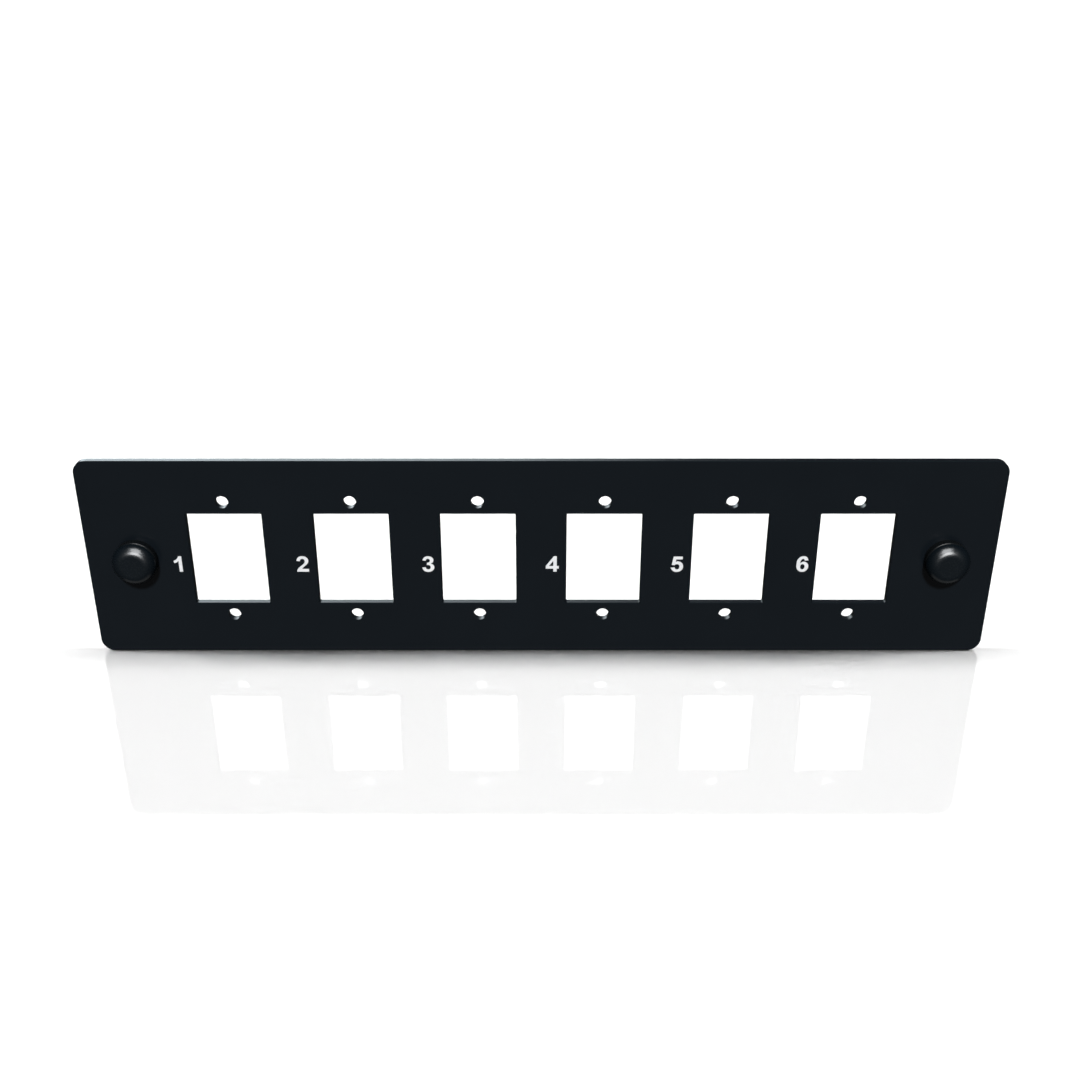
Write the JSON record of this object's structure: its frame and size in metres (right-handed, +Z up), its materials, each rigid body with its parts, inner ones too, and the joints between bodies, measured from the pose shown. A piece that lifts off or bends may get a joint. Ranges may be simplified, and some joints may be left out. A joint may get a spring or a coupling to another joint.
{
  "type": "fibre adapter plate",
  "caption": "Flat black coated steel plate with a row of rectangular adapter openings, screw holes above and below each, and a push fastener at either end.",
  "frame": {"origin": "middle of the plate's back face, which seats on the panel", "axes": "+Y out of the back of the plate towards the panel, -Y out of its front; +X along its length to the right seen from the front; +Z up along its short side"},
  "size_m": [0.13, 0.0086, 0.0306],
  "materials": {
    "coated_plate": "satin",
    "grommet_nylon": "satin",
    "plunger_nylon": "semi-gloss",
    "number_ink": "matte"
  },
  "bodies": {
    "panel": {"adapter_plate": "coated_plate", "grommet_left": "grommet_nylon", "grommet_right": "grommet_nylon"},
    "left_plunger": {"plunger_left": "plunger_nylon"},
    "right_plunger": {"plunger_right": "plunger_nylon"}
  },
  "joints": [
    {"name": "left_plunger_pull", "type": "slide", "parent": "panel", "child": "left_plunger", "axis": [0, -1, 0], "range_m": [0, 0.003]},
    {"name": "right_plunger_pull", "type": "slide", "parent": "panel", "child": "right_plunger", "axis": [0, -1, 0], "range_m": [0, 0.003]}
  ]
}
